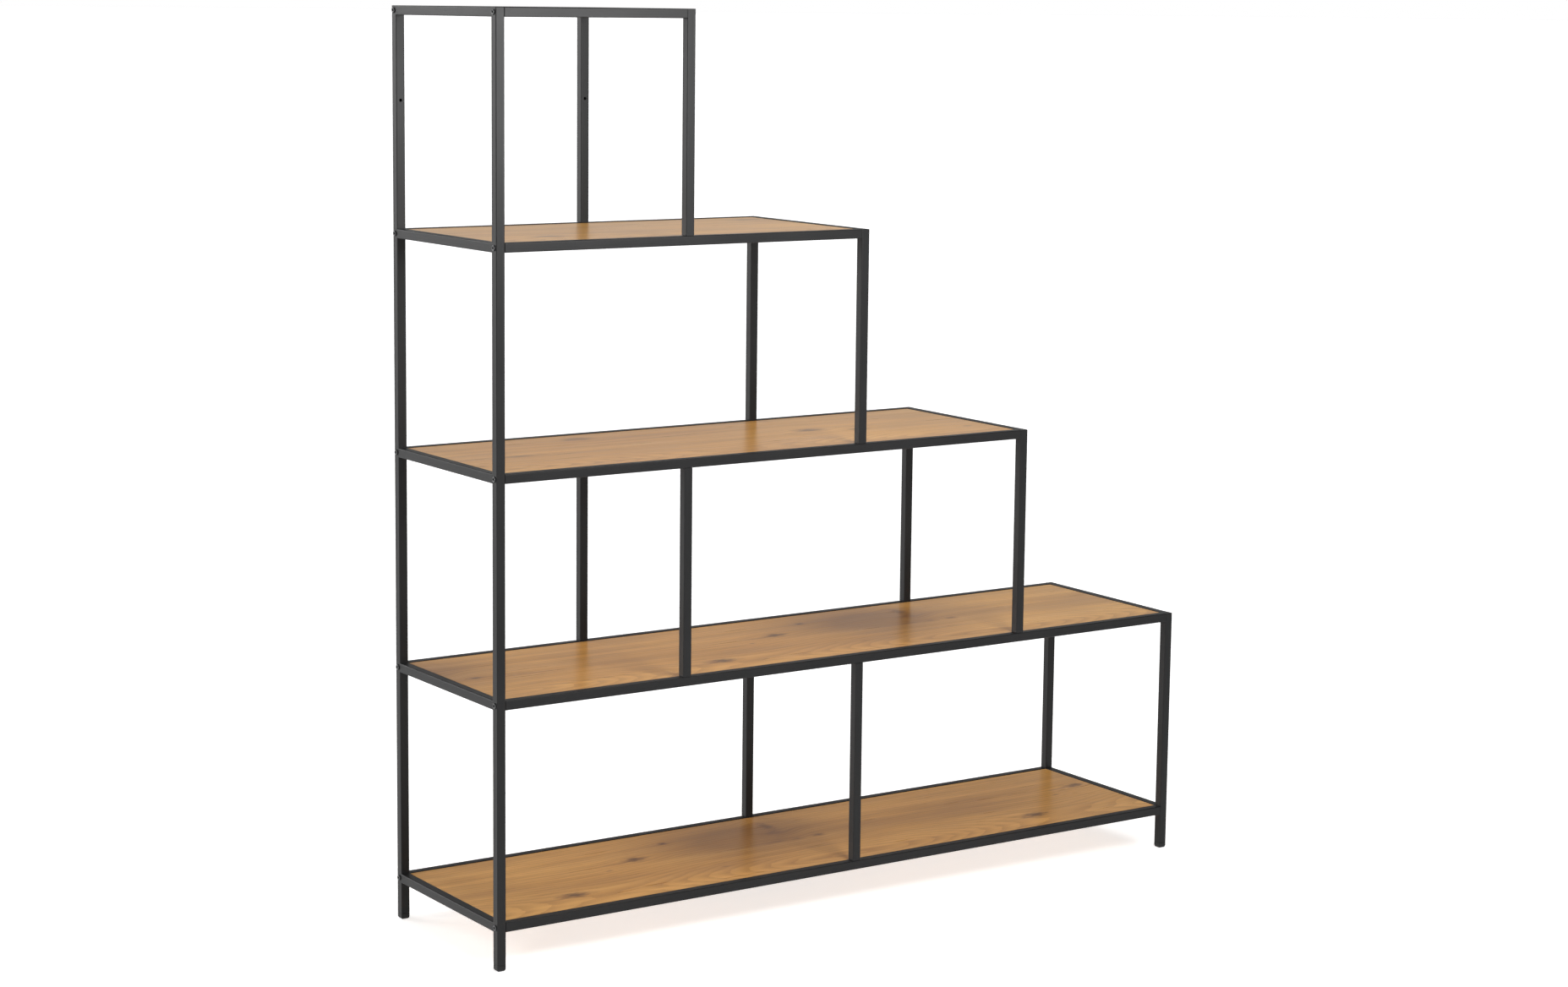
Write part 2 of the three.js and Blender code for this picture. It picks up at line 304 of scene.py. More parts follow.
def eased_block(low, high, radius):
    """A block whose edges are all rounded: the corners of an inner block, each with a sphere's octant.

    The surface is a grid of longitude and latitude on the sphere. Each point is the inner block's
    corner on its own side of the middle, plus the radius times the sphere's direction there.
    """
    low = np.asarray(low, float)
    high = np.asarray(high, float)
    quarter = np.linspace(0, math.pi / 2, EDGE_STEPS + 1)
    longitude = np.concatenate([quarter + turn * math.pi / 2 for turn in range(4)])
    side_x = np.repeat([1, -1, -1, 1], EDGE_STEPS + 1)
    side_y = np.repeat([1, 1, -1, -1], EDGE_STEPS + 1)
    latitude = np.concatenate([quarter - math.pi / 2, quarter])
    side_z = np.repeat([-1, 1], EDGE_STEPS + 1)
    direction = np.stack(
        [
            np.cos(latitude)[:, None] * np.cos(longitude)[None, :],
            np.cos(latitude)[:, None] * np.sin(longitude)[None, :],
            np.broadcast_to(np.sin(latitude)[:, None], (len(latitude), len(longitude))),
        ],
        -1,
    )
    side = np.stack(
        [
            np.broadcast_to(side_x, direction.shape[:2]),
            np.broadcast_to(side_y, direction.shape[:2]),
            np.broadcast_to(side_z[:, None], direction.shape[:2]),
        ],
        -1,
    )
    points = (low + high) / 2 + side * ((high - low) / 2 - radius) + radius * direction
    column_count = len(longitude)
    faces = grid_faces(0, len(latitude), column_count).reshape(-1, 4).tolist()
    bottom = list(range(0, column_count, EDGE_STEPS + 1))[::-1]
    top = [(len(latitude) - 1) * column_count + column for column in bottom[::-1]]
    return points.reshape(-1, 3), faces + [bottom, top]


def bolt_shell():
    """A low-head bolt with a hexagon socket, its head upwards and its shank below height zero.

    A profile of radius against height is turned round the axis. From the socket's mouth down, the
    radius is that of a hexagon: the apothem over the cosine of the angle to the nearest flat's middle.
    """
    dome = np.linspace(0, 1, DOME_STEPS + 1)
    dome_height = BOLT_HEAD_SIDE + (BOLT_HEAD_HEIGHT - BOLT_HEAD_SIDE) * np.sin(dome * math.pi / 2)
    dome_radius = BOLT_RIM_RADIUS + (BOLT_HEAD_RADIUS - BOLT_RIM_RADIUS) * np.cos(dome * math.pi / 2)
    profile = [
        (BOLT_RADIUS - BOLT_TIP_CHAMFER, -BOLT_LENGTH, 0),
        (BOLT_RADIUS, BOLT_TIP_CHAMFER - BOLT_LENGTH, 0),
        (BOLT_RADIUS, 0, 0),
        (BOLT_HEAD_RADIUS - CUT_EDGE_RADIUS, 0, 0),
        (BOLT_HEAD_RADIUS, CUT_EDGE_RADIUS, 0),
        *zip(dome_radius, dome_height, np.zeros_like(dome)),
        (BOLT_SOCKET_APOTHEM, BOLT_HEAD_HEIGHT - CUT_EDGE_RADIUS, 1),
        (BOLT_SOCKET_APOTHEM, BOLT_HEAD_HEIGHT - BOLT_SOCKET_DEPTH, 1),
    ]
    radius, height, hexagon = np.array(profile).T[:, :, None]
    angle = np.arange(ROUND_SIDES) * 2 * math.pi / ROUND_SIDES
    to_flat = np.mod(angle, math.pi / 3) - math.pi / 6
    reach = radius * (1 + hexagon * (1 / np.cos(to_flat) - 1))
    height = np.broadcast_to(height, reach.shape)
    points = np.stack([reach * np.cos(angle), reach * np.sin(angle), height], -1)
    faces = grid_faces(0, len(profile), ROUND_SIDES).reshape(-1, 4).tolist()
    bottom = list(range(ROUND_SIDES))[::-1]
    socket = [(len(profile) - 1) * ROUND_SIDES + column for column in range(ROUND_SIDES)]
    return points.reshape(-1, 3), faces + [bottom, socket]


def screw_head():
    """The pan head of a wood screw with a cross recess: its flat side at height zero, its dome upwards.

    Height over a disc: a flattened dome, less the recess depth wherever the nearer of the two arms'
    middle lines is closer than half an arm's width, with an even slope at the arm's sides and end.
    """
    share = np.linspace(1, 0, SCREW_RING_STEPS + 1)[:-1]
    angle = np.arange(ROUND_SIDES) * 2 * math.pi / ROUND_SIDES
    x = SCREW_HEAD_RADIUS * share[:, None] * np.cos(angle)
    y = SCREW_HEAD_RADIUS * share[:, None] * np.sin(angle)
    dome = SCREW_HEAD_HEIGHT * np.sqrt(1 - share[:, None] ** SCREW_DOME_POWER)
    beside = np.minimum(np.abs(x), np.abs(y)) / SCREW_RECESS_HALF_WIDTH
    outward = np.hypot(x, y) / SCREW_RECESS_REACH
    within_sides = np.clip(0.5 + SCREW_ARM_SIDE_STEEPNESS * (1 - beside), 0, 1)
    within_end = np.clip(SCREW_ARM_END_STEEPNESS * (1 - outward), 0, 1)
    height = np.maximum(dome - SCREW_RECESS_DEPTH * within_sides * within_end, 0)
    points = np.stack([x, y, height], -1)
    faces = grid_faces(0, len(share), ROUND_SIDES).reshape(-1, 4).tolist()
    bottom = list(range(ROUND_SIDES))[::-1]
    middle = [(len(share) - 1) * ROUND_SIDES + column for column in range(ROUND_SIDES)]
    return points.reshape(-1, 3), faces + [bottom, middle]


def placed(shell, turn, place):
    """A shell turned by a matrix and then moved."""
    points, faces = shell
    return points @ turn.T + np.asarray(place, float), faces


def make_piece(name, shells, material, slot, *nodes):
    """One named piece from one or more closed shells, that stands for the given nodes."""
    starts = np.cumsum([0] + [len(points) for points, faces in shells])
    points = np.concatenate([points for points, faces in shells])
    faces = [
        [start + index for index in face] for start, (_, block) in zip(starts, shells) for face in block
    ]
    mesh = bpy.data.meshes.new(name)
    mesh.from_pydata(points.tolist(), [], faces)
    work = bmesh.new()
    work.from_mesh(mesh)
    bmesh.ops.remove_doubles(work, verts=work.verts, dist=MERGE_DISTANCE)
    unused = [point for point in work.verts if not point.link_faces]
    bmesh.ops.delete(work, geom=unused, context="VERTS")
    bmesh.ops.recalc_face_normals(work, faces=work.faces)
    work.to_mesh(mesh)
    work.free()
    mesh.shade_smooth()
    mesh.set_sharp_from_angle(angle=SHARP_ANGLE)
    mesh.materials.append(material)
    piece = bpy.data.objects.new(name, mesh)
    bpy.context.scene.collection.objects.link(piece)
    weighted = piece.modifiers.new("flat_faces_stay_flat", "WEIGHTED_NORMAL")
    weighted.keep_sharp = True
    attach(piece, BODY)
    if nodes:
        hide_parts(*nodes)
    return piece


class Finish:
    """A material under construction: its nodes, and short ways to add the usual ones."""

    def __init__(self, name, **settings):
        self.material = bpy.data.materials.new(name)
        self.material.use_nodes = True
        self.nodes = self.material.node_tree.nodes
        self.links = self.material.node_tree.links
        self.surface = self.nodes["Principled BSDF"]
        for socket, value in settings.items():
            self.surface.inputs[socket.replace("_", " ")].default_value = value
        self.place = self.nodes.new("ShaderNodeTexCoord").outputs["Object"]

    def feed(self, socket, value):
        """A value for an input: another node's output, or a plain number or vector."""
        if isinstance(value, bpy.types.NodeSocket):
            self.links.new(value, socket)
        else:
            socket.default_value = value

    def math(self, operation, *values, clamp=False):
        """The result of an operation on numbers, kept between 0 and 1 if clamp says so."""
        node = self.nodes.new("ShaderNodeMath")
        node.operation = operation
        node.use_clamp = clamp
        for socket, value in zip(node.inputs, values):
            self.feed(socket, value)
        return node.outputs[0]

    def vector(self, operation, *values):
        """The result of an operation on vectors: a length as a number, and all else as a vector."""
        node = self.nodes.new("ShaderNodeVectorMath")
        node.operation = operation
        for socket, value in zip(node.inputs, values):
            self.feed(socket, value)
        return node.outputs["Value" if operation == "LENGTH" else "Vector"]

    def moved(self, vector, shift):
        """A place moved by a fixed shift."""
        node = self.nodes.new("ShaderNodeMapping")
        node.inputs["Location"].default_value = shift
        self.feed(node.inputs["Vector"], vector)
        return node.outputs["Vector"]

    def split(self, vector):
        """The X, Y and Z of a vector."""
        node = self.nodes.new("ShaderNodeSeparateXYZ")
        self.feed(node.inputs[0], vector)
        return node.outputs

    def joined(self, x, y, z):
        """A vector from its X, Y and Z."""
        node = self.nodes.new("ShaderNodeCombineXYZ")
        for socket, value in zip(node.inputs, (x, y, z)):
            self.feed(socket, value)
        return node.outputs[0]

    def noise(self, vector, per_metre, detail=2, roughness=0.5):
        """Noise with so many waves a metre along each axis."""
        node = self.nodes.new("ShaderNodeTexNoise")
        self.feed(node.inputs["Vector"], self.vector("MULTIPLY", vector, per_metre))
        node.inputs["Scale"].default_value = 1
        node.inputs["Detail"].default_value = detail
        node.inputs["Roughness"].default_value = roughness
        return node.outputs["Fac"]

    def spread(self, value, low, high, to_low=0, to_high=1, smooth=False):
        """A value between low and high brought between two others, and kept there."""
        node = self.nodes.new("ShaderNodeMapRange")
        node.interpolation_type = "SMOOTHSTEP" if smooth else "LINEAR"
        for socket, given in zip(node.inputs, (value, low, high, to_low, to_high)):
            self.feed(socket, given)
        return node.outputs[0]

    def ramp(self, value, stops):
        """The colour of a value among stops, each a value and its colour."""
        node = self.nodes.new("ShaderNodeValToRGB")
        elements = node.color_ramp.elements
        for index, (place, colour) in enumerate(stops):
            element = elements[index] if index < 2 else elements.new(place)
            element.position = place
            element.color = (*colour, 1)
        self.feed(node.inputs[0], value)
        return node.outputs[0]

    def mixed(self, share, one, other, blend="MIX"):
        """One colour, with a share of another mixed or multiplied into it."""
        node = self.nodes.new("ShaderNodeMix")
        node.data_type = "RGBA"
        node.blend_type = blend
        self.feed(node.inputs["Factor"], share)
        self.feed(node.inputs[6], one if isinstance(one, bpy.types.NodeSocket) else (*one, 1))
        self.feed(node.inputs[7], other if isinstance(other, bpy.types.NodeSocket) else (*other, 1))
        return node.outputs[2]

    def bumped(self, height, depth, strength):
        """Bump from a height between 0 and 1, of so many metres from lowest to highest."""
        node = self.nodes.new("ShaderNodeBump")
        node.inputs["Strength"].default_value = strength
        node.inputs["Distance"].default_value = depth
        self.feed(node.inputs["Height"], height)
        self.links.new(node.outputs[0], self.surface.inputs["Normal"])

    def use(self, socket, value):
        """A value as one of the shader's inputs."""
        self.links.new(value, self.surface.inputs[socket])


# Noise keeps mostly between these two values
NOISE_LOW = 0.3
NOISE_HIGH = 0.7

# Powder coat
COAT_PEBBLES_PER_METRE = 1400
COAT_CLOUDS_PER_METRE = 9
COAT_PEBBLE_SHARE = 0.35
COAT_COLOURS = [(NOISE_LOW, (0.009, 0.009, 0.0093)), (NOISE_HIGH, (0.014, 0.014, 0.0143))]
COAT_ROUGHNESS = (0.36, 0.42)
COAT_SHINE = 0.17
COAT_RELIEF = 0.00001
COAT_RELIEF_SHARE = 0.3

# Moulded plastic
PLASTIC_GRAINS_PER_METRE = 2600
PLASTIC_CLOUDS_PER_METRE = 60
PLASTIC_COLOURS = [(NOISE_LOW, (0.010, 0.010, 0.010)), (NOISE_HIGH, (0.014, 0.014, 0.014))]
PLASTIC_ROUGHNESS = (0.42, 0.50)
PLASTIC_SHINE = 0.2
PLASTIC_RELIEF = 0.00002
PLASTIC_RELIEF_SHARE = 0.4

# Bolt steel
STEEL_RUBS_PER_METRE = 450
STEEL_COLOURS = [(0.35, (0.040, 0.040, 0.042)), (0.75, (0.085, 0.085, 0.085))]
STEEL_ROUGHNESS = (0.34, 0.5)
STEEL_METAL_SHARE = 0.6
STEEL_RELIEF = 0.00001
STEEL_RELIEF_SHARE = 0.3


def powder_coat():
    """Matt black powder coat: a fine pebbled skin, a little uneven in shade and gloss."""
    coat = Finish("black_powder_coat", Specular_IOR_Level=COAT_SHINE)
    pebbles = coat.noise(coat.place, [COAT_PEBBLES_PER_METRE] * 3)
    clouds = coat.noise(coat.place, [COAT_CLOUDS_PER_METRE] * 3, detail=3)
    cloud_shade = coat.math("MULTIPLY", clouds, 1 - COAT_PEBBLE_SHARE)
    shade = coat.math("MULTIPLY_ADD", pebbles, COAT_PEBBLE_SHARE, cloud_shade)
    coat.use("Base Color", coat.ramp(shade, COAT_COLOURS))
    coat.use("Roughness", coat.spread(clouds, NOISE_LOW, NOISE_HIGH, *COAT_ROUGHNESS))
    coat.bumped(pebbles, COAT_RELIEF, COAT_RELIEF_SHARE)
    return coat.material


def moulded_plastic():
    """Black moulded plastic with a fine spark-eroded grain."""
    plastic = Finish("black_moulded_plastic", Specular_IOR_Level=PLASTIC_SHINE)
    grain = plastic.noise(plastic.place, [PLASTIC_GRAINS_PER_METRE] * 3, detail=1)
    clouds = plastic.noise(plastic.place, [PLASTIC_CLOUDS_PER_METRE] * 3)
    plastic.use("Base Color", plastic.ramp(clouds, PLASTIC_COLOURS))
    plastic.use("Roughness", plastic.spread(clouds, NOISE_LOW, NOISE_HIGH, *PLASTIC_ROUGHNESS))
    plastic.bumped(grain, PLASTIC_RELIEF, PLASTIC_RELIEF_SHARE)
    return plastic.material


def blackened_bolt():
    """Blackened steel with an oily sheen, rubbed a little lighter in places."""
    steel = Finish("blackened_bolt_steel", Metallic=STEEL_METAL_SHARE)
    rubbed = steel.noise(steel.place, [STEEL_RUBS_PER_METRE] * 3, detail=3)
    steel.use("Base Color", steel.ramp(rubbed, STEEL_COLOURS))
    steel.use("Roughness", steel.spread(rubbed, NOISE_LOW, NOISE_HIGH, *STEEL_ROUGHNESS))
    steel.bumped(rubbed, STEEL_RELIEF, STEEL_RELIEF_SHARE)
    return steel.material


# The oak print: X runs along the grain and Y inwards, both from the frame's front left corner.
# Boards 1 and 2 carry the same stretch of it, board 2 further along, and it repeats.
PRINT_REPEAT = 0.950
PRINT_STARTS = {1: (0.0, 0.0), 2: (0.280, 0.0), 3: (2.130, 0.610), 4: (4.470, 1.370)}
LONG_PRINT_LEVELS = (1, 2)
# Each knot: its place, its half length and half width, and how dark it is as a share.
# The places for levels 1 and 2 are on the print, and those for levels 3 and 4 on the board.
LONG_PRINT_KNOT_SHARES = (
    ((0.185, 0.078), (0.036, 0.016), 0.90),
    ((0.140, 0.068), (0.040, 0.005), 0.30),
    ((0.374, 0.205), (0.028, 0.015), 0.85),
    ((0.335, 0.198), (0.035, 0.006), 0.35),
    ((0.465, 0.264), (0.014, 0.008), 0.90),
    ((0.303, 0.168), (0.009, 0.004), 0.60),
    ((0.482, 0.090), (0.010, 0.005), 0.45),
    ((0.678, 0.262), (0.018, 0.034), 0.75),
    ((0.664, 0.222), (0.024, 0.015), 0.60),
    ((0.635, 0.172), (0.036, 0.007), 0.60),
    ((0.682, 0.170), (0.012, 0.008), 0.55),
    ((0.727, 0.172), (0.018, 0.008), 0.80),
    ((0.560, 0.020), (0.050, 0.006), 0.30),
)
KNOT_SHARES = {
    1: LONG_PRINT_KNOT_SHARES,
    2: LONG_PRINT_KNOT_SHARES,
    3: (
        ((0.305, 0.285), (0.036, 0.020), 0.75),
        ((0.130, 0.159), (0.040, 0.012), 0.60),
        ((0.705, 0.184), (0.036, 0.020), 0.80),
        ((0.790, 0.154), (0.022, 0.014), 0.80),
        ((0.026, 0.094), (0.014, 0.008), 0.55),
        ((0.470, 0.060), (0.030, 0.006), 0.45),
    ),
    4: (
        ((0.150, 0.099), (0.036, 0.022), 0.70),
        ((0.640, 0.284), (0.044, 0.020), 0.55),
        ((0.400, 0.200), (0.040, 0.005), 0.25),
    ),
}
KNOT_RAGGEDNESS = 1.5
KNOT_REACH = 1.3
KNOT_BEND_REACH = 3.5
KNOT_BEND_SHARE = 0.6
KNOT_DARKEST_SHARE = 0.85
KNOT_COLOURS = [(0.3, (0.250, 0.114, 0.048)), (KNOT_DARKEST_SHARE, (0.082, 0.038, 0.019))]
# Wide patches of painted shade on boards 1 and 2, under the boards above: place, half length and half
# width, and share of the tint
PAINTED_SHADE_TINT_SHARES = (0.55, 0.53, 0.63)
LONG_PRINT_PAINTED_SHADE_SHARES = (
    ((0.600, 0.230), (0.320, 0.230), 0.80),
    ((0.600, 0.220), (0.200, 0.120), 0.50),
)
PITH_FROM_FRONT = 0.048
PITH_DEPTH = 0.052
PITH_SWING = 0.036
RING_SPACING = 0.0085
RING_WOBBLE = 1.6
RING_FALL_SHARE = 0.75
# Waves a metre along and across the grain
RAGGED_WAVES = (55, 210, 1)
WOBBLE_WAVES = (3, 30, 1)
DRIFT_WAVES = (1.7, 5, 1)
CLOUD_WAVES = (2.2, 9, 1)
BAND_WAVES = (1.5, 34, 1)
STREAK_WAVES = (5, 125, 1)
FIBRE_WAVES = (16, 900, 1)
PORE_WAVES = (70, 2400, 1)
GRAIN_DRIFT = 0.03
# How much each of them adds to the tone of the wood
BAND_SHARE = 0.36
STREAK_SHARE = 0.27
FIBRE_SHARE = 0.27
RING_SHARE = -0.09
WOOD_COLOURS = [
    (0.28, (0.420, 0.202, 0.052)),
    (0.42, (0.600, 0.312, 0.086)),
    (0.56, (0.760, 0.436, 0.136)),
]
SMOKE_COLOUR = (0.375, 0.192, 0.070)
SMOKE_LOW = 0.42
SMOKE_HIGH = 0.72
SMOKE_SHARE = 0.5
PORE_COLOUR = (0.250, 0.110, 0.036)
PORE_LOW = 0.56
PORE_HIGH = 0.70
PORE_SHARE = 0.4
# Only this share of the pores shows where a ring has died away, and all from the ring share on
FEWEST_PORES_SHARE = 0.35
ALL_PORES_RING_SHARE = 0.6
OAK_ROUGHNESS = (0.27, 0.34)
OAK_SHINE = 0.22
OAK_RELIEF = 0.00003
OAK_RELIEF_SHARE = 0.3
FIBRE_RELIEF_SHARE = 0.5


def print_offsets(oak, x, y, place):
    """How far a place lies from one of the print's, along and across, with the print repeating."""
    off_x = oak.math("WRAP", oak.math("SUBTRACT", x, place[0]), PRINT_REPEAT / 2, -PRINT_REPEAT / 2)
    return off_x, oak.math("SUBTRACT", y, place[1])


def painted_shade(oak, x, y, shades):
    """How much painted shade a place gets: one at the middle of each shade's ellipse, falling to nothing
    at its rim.
    """
    darkness = 0
    for place, (half_length, half_width), share in shades:
        off_x, off_y = print_offsets(oak, x, y, place)
        along = oak.math("DIVIDE", off_x, half_length)
        away = oak.vector("LENGTH", oak.joined(along, oak.math("DIVIDE", off_y, half_width), 0))
        darkness = oak.math("ADD", darkness, oak.spread(away, 0, 1, share, 0, smooth=True))
    return darkness


def knots_and_bend(oak, x, y, knots):
    """How dark the knots make a place, and its Y once the grain is bent round them.

    A knot is an ellipse with a ragged rim, darkest in its middle. Around it the grain keeps
    closer to the knot's own middle line, less so with distance, so lines swell out and pass by.
    """
    ragged = oak.noise(oak.joined(x, y, 0), RAGGED_WAVES, detail=3)
    darkness = 0
    bent = y
    for place, (half_length, half_width), share in knots:
        off_x, off_y = print_offsets(oak, x, y, place)
        across = oak.math("DIVIDE", off_y, half_width)
        away = oak.vector("LENGTH", oak.joined(oak.math("DIVIDE", off_x, half_length), across, 0))
        rim = oak.math("SUBTRACT", away, KNOT_RAGGEDNESS / 2)
        rim = oak.math("MULTIPLY_ADD", ragged, KNOT_RAGGEDNESS, rim)
        darkness = oak.math("ADD", darkness, oak.spread(rim, 0, KNOT_REACH, share, 0, smooth=True))
        push = oak.spread(away, 0, KNOT_BEND_REACH, KNOT_BEND_SHARE * share, 0, smooth=True)
        bent = oak.math("SUBTRACT", bent, oak.math("MULTIPLY", off_y, push))
    return darkness, bent


def growth_rings(oak, x, bent):
    """A share from 0 to 1 that jumps up at each ring and dies away to the next.

    Rings are contours of the distance to a log's axis that runs along X under the board, a
    fixed way in from the front edge, and dips and rises once in each repeat of the print.
    """
    turn = oak.math("SINE", oak.math("MULTIPLY", x, 2 * math.pi / PRINT_REPEAT))
    depth = oak.math("MULTIPLY_ADD", turn, PITH_SWING, PITH_DEPTH)
    across = oak.math("SUBTRACT", bent, PITH_FROM_FRONT)
    distance = oak.vector("LENGTH", oak.joined(across, depth, 0))
    wobble = oak.noise(oak.joined(x, bent, 0), WOBBLE_WAVES)
    count = oak.math("DIVIDE", distance, RING_SPACING)
    count = oak.math("MULTIPLY_ADD", wobble, RING_WOBBLE, count)
    return oak.spread(oak.math("FRACT", count), 0, RING_FALL_SHARE, 1, 0, smooth=True)


def oak_laminate(level):
    """Satin oak print: growth rings in long arches, streaks, fibres, pores, smoky patches and knots;
    painted shade on boards 1 and 2.
    """
    oak = Finish(f"oak_laminate_level_{level}", Specular_IOR_Level=OAK_SHINE)
    corner, _ = corners("left_post_front")
    start_x, start_y = PRINT_STARTS[level]
    board_x, y, _ = oak.split(oak.moved(oak.place, (-corner[0], -corner[1], 0)))
    x = oak.math("SUBTRACT", board_x, start_x)
    knot_x = x if level in LONG_PRINT_LEVELS else board_x
    darkness, bent = knots_and_bend(oak, knot_x, y, KNOT_SHARES[level])
    drift = oak.noise(oak.joined(x, bent, 0), DRIFT_WAVES)
    drift = oak.math("MULTIPLY_ADD", drift, GRAIN_DRIFT, -GRAIN_DRIFT / 2)
    rings = growth_rings(oak, x, oak.math("ADD", bent, drift))
    along = oak.joined(x, oak.math("ADD", oak.math("SUBTRACT", bent, start_y), drift), 0)
    clouds = oak.noise(along, CLOUD_WAVES)
    bands = oak.noise(along, BAND_WAVES)
    streaks = oak.noise(along, STREAK_WAVES, detail=3, roughness=0.6)
    fibres = oak.noise(along, FIBRE_WAVES, detail=3, roughness=0.6)
    pores = oak.spread(oak.noise(along, PORE_WAVES, detail=1), PORE_LOW, PORE_HIGH)
    kept = oak.spread(rings, 0, ALL_PORES_RING_SHARE, FEWEST_PORES_SHARE, 1)
    pores = oak.math("MULTIPLY", pores, kept)
    tone = oak.math("MULTIPLY", bands, BAND_SHARE)
    for layer, share in ((streaks, STREAK_SHARE), (fibres, FIBRE_SHARE), (rings, RING_SHARE)):
        tone = oak.math("MULTIPLY_ADD", layer, share, tone)
    smoke = oak.spread(clouds, SMOKE_LOW, SMOKE_HIGH, 0, SMOKE_SHARE, smooth=True)
    wood = oak.mixed(smoke, oak.ramp(tone, WOOD_COLOURS), SMOKE_COLOUR)
    # Painted shade: the middles of boards 1 and 2 are darkened in place of the shade under the boards
    # above
    if level in LONG_PRINT_LEVELS:
        shade = painted_shade(oak, knot_x, y, LONG_PRINT_PAINTED_SHADE_SHARES)
        wood = oak.mixed(shade, wood, PAINTED_SHADE_TINT_SHARES, blend="MULTIPLY")
    wood = oak.mixed(oak.math("MULTIPLY", pores, PORE_SHARE), wood, PORE_COLOUR)
    knot = oak.ramp(darkness, KNOT_COLOURS)
    oak.use("Base Color", oak.mixed(oak.math("MINIMUM", darkness, KNOT_DARKEST_SHARE), wood, knot))
    oak.use("Roughness", oak.spread(streaks, NOISE_LOW, NOISE_HIGH, *OAK_ROUGHNESS))
    relief = oak.math("SUBTRACT", oak.math("MULTIPLY", fibres, FIBRE_RELIEF_SHARE), pores)
    oak.bumped(relief, OAK_RELIEF, OAK_RELIEF_SHARE)
    return oak.material


BLACK_STEEL = powder_coat()
BLACK_PLASTIC = moulded_plastic()
BOLT_STEEL = blackened_bolt()


def tube_middle(level, row):
    """The Y and Z of the middle line of a long rail's tube, which its bolts share."""
    post_low, post_high = corners(f"left_post_{row}")
    rail_low, rail_high = corners(f"left_side_rail_level_{level}")
    return (post_low[1] + post_high[1]) / 2, (rail_low[2] + rail_high[2]) / 2


def bolt_places():
    """The bolts: name, the side they face, and the middle of the head's underside.

    Each stands out from the outer face of the post that its rail's end meets.
    """
    found = []
    for level in LEVELS:
        for row in ROWS:
            y, z = tube_middle(level, row)
            for side in SIDES:
                low, high = corners(f"{side}_side_rail_level_{level}")
                outward = -1 if side == "left" else 1
                face = low[0] if side == "left" else high[0]
                seat = np.array([face + outward * BOLT_SEAT_GAP, y, z])
                found.append((f"{side}_bolt_{row}_level_{level}", outward, seat))
    return found


BOLTS = bolt_places()


def is_upright(node):
    """Whether a node is a post or a divider."""
    return "post" in node or "divider" in node


def add_uprights():
    """Posts, step posts and dividers: hollow tubes with their bolt holes and wall holes."""
    for node in sorted(filter(is_upright, frame["nodes"])):
        low, high = corners(node)
        middle = (low + high) / 2
        holes = []
        for name, outward, seat in BOLTS:
            inside = low[2] < seat[2] < high[2]
            near = abs(seat[0] - middle[0]) < TUBE_SIDE and abs(seat[1] - middle[1]) < TUBE_SIDE / 2
            if inside and near:
                holes += [(quarter, seat[2] - low[2], BOLT_HOLE_RADIUS) for quarter in SIDES_FACING_X]
        if node in WALL_HOLE_POSTS:
            height = high[2] - WALL_HOLE_DROP - low[2]
            holes += [(quarter, height, WALL_HOLE_RADIUS) for quarter in SIDES_FACING_Y]
        shell = hollow_tube(TUBE_SIDE, high[2] - low[2], capped="post" in node, holes=holes)
        place = (middle[0], middle[1], low[2])
        make_piece(f"{node}_tube", [placed(shell, STANDING, place)], BLACK_STEEL, "frame", node)


def add_side_rails():
    """Side rails: open tubes that run into the posts' round corners, with the weld ground flush."""
    for level in LEVELS:
        for side in SIDES:
            node = f"{side}_side_rail_level_{level}"
            low, high = corners(node)
            middle = (low + high) / 2
            length = high[1] - low[1] + 2 * WELD_REACH
            shell = hollow_tube(TUBE_SIDE, length, capped=False)
            place = (middle[0], low[1] - WELD_REACH, middle[2])
            make_piece(f"{node}_tube", [placed(shell, ALONG_Y, place)], BLACK_STEEL, "frame", node)


def long_tube(level, row):
    """The closed tube of one long rail."""
    low, high = corners(f"{row}_rail_level_{level}")
    rim = quarter_round(CUT_EDGE_RADIUS)
    rows = np.concatenate([rim, upside_down(rim, high[0] - low[0])])
    return placed(closed_bar(TUBE_SIDE, rows), ALONG_X, (low[0], *tube_middle(level, row)))


def spigots_of(level, row):
    """The spigots of one long rail: blocks that reach into the uprights above and below it."""
    rail_low, rail_high = corners(f"left_side_rail_level_{level}")
    half = SPIGOT_SIDE / 2
    found = []
    for node in filter(is_upright, frame["nodes"]):
        foot, head = corners(node)
        stands = 0 < foot[2] - rail_high[2] < WELD_GAP_LIMIT
        hangs = 0 < rail_low[2] - head[2] < WELD_GAP_LIMIT
        if not node.endswith(row) or not (stands or hangs):
            continue
        x, y, _ = (foot + head) / 2
        bottom = rail_high[2] - TUBE_WALL if stands else rail_low[2] - SPIGOT_LENGTH
        top = rail_high[2] + SPIGOT_LENGTH if stands else rail_low[2] + TUBE_WALL
        low = (x - half, y - half, bottom)
        high = (x + half, y + half, top)
        found.append(eased_block(low, high, SPIGOT_EDGE_RADIUS))
    return found


